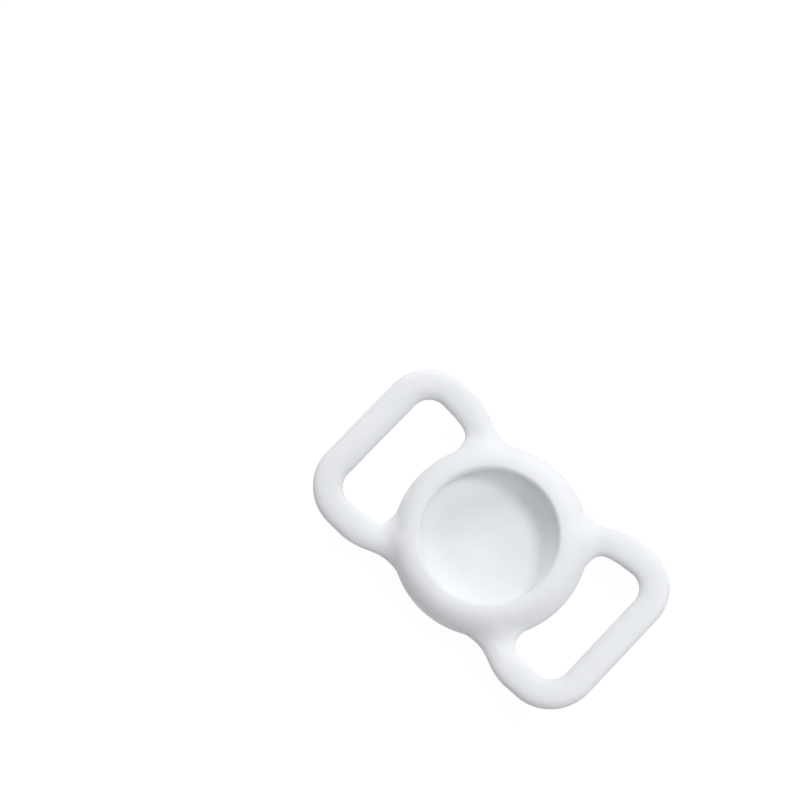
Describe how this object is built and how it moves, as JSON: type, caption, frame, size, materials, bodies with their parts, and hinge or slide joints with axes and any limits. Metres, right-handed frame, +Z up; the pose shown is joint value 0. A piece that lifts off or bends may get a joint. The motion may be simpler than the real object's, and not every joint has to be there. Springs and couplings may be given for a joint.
{
  "type": "tag holder",
  "caption": "Soft silicone holder for a round tracker tag: a rounded cup with an elastic mouth lip, and upswept strap loops on both sides for a pet collar.",
  "frame": {"origin": "middle of the cup's closed face, on the surface that the holder rests on", "axes": "+X along the collar strap towards the right loop, +Y across the strap, +Z up out of the mouth"},
  "size_m": [0.0742, 0.0408, 0.0096],
  "materials": {
    "silicone": "matte soft-touch white silicone"
  },
  "bodies": {
    "cup": {"pocket_floor": "silicone", "pocket_wall": "silicone", "mouth_lip": "silicone", "right_upper_neck": "silicone", "right_lower_neck": "silicone", "left_upper_neck": "silicone", "left_lower_neck": "silicone"},
    "right_loop": {"right_strap_loop": "silicone"},
    "left_loop": {"left_strap_loop": "silicone"}
  },
  "joints": [
    {"name": "right_loop_flex", "type": "hinge", "parent": "cup", "child": "right_loop", "pos_m": [0.02048, 0, 0.00506], "axis": [0, -1, 0], "range_deg": [-60, 60], "stiffness_Nm_per_rad": 0.0185, "deforming": ["right_upper_neck", "right_lower_neck"]},
    {"name": "left_loop_flex", "type": "hinge", "parent": "cup", "child": "left_loop", "pos_m": [-0.02048, 0, 0.00506], "axis": [0, 1, 0], "range_deg": [-60, 60], "stiffness_Nm_per_rad": 0.0185, "deforming": ["left_upper_neck", "left_lower_neck"]}
  ]
}
